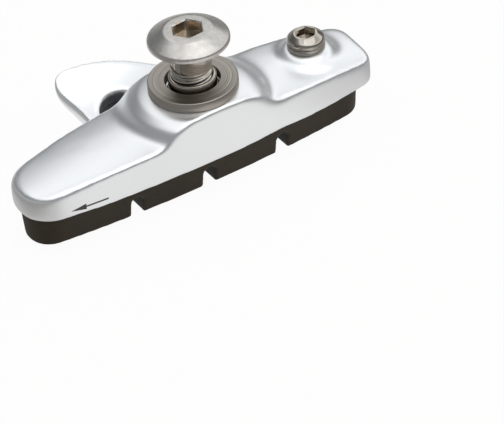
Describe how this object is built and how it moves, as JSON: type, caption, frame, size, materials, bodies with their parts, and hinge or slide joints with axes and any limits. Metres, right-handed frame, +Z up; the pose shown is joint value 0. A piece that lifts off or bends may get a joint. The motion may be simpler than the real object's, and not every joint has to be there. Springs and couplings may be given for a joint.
{
  "type": "bicycle rim brake pad",
  "caption": "Slim forged road brake shoe with a slide-in rubber pad, a wheel-guide fin with a rubber bumper, and a domed boss, washer and bolt that clamp it to a brake arm.",
  "frame": {"origin": "on the bolt axis, in the plane of the pad's braking face", "axes": "+Z up the bolt, away from the rim; -X to the closed front end of the holder; +Y to the fin, which faces the hub"},
  "size_m": [0.0573, 0.0252, 0.024],
  "materials": {
    "satin_aluminium": "forged and polished to a satin silver",
    "pad_rubber": "matt moulded rubber compound",
    "bumper_rubber": "smooth soft rubber",
    "turned_steel": "turned, with fine concentric lines",
    "bright_steel": "bright plated steel"
  },
  "bodies": {
    "root": {"pad_holder": "satin_aluminium", "brake_pad": "pad_rubber", "guide_bumper": "bumper_rubber", "threaded_post": "bright_steel", "toe_in_washer": "turned_steel", "mounting_bolt": "bright_steel", "pad_screw": "bright_steel"}
  },
  "joints": []
}
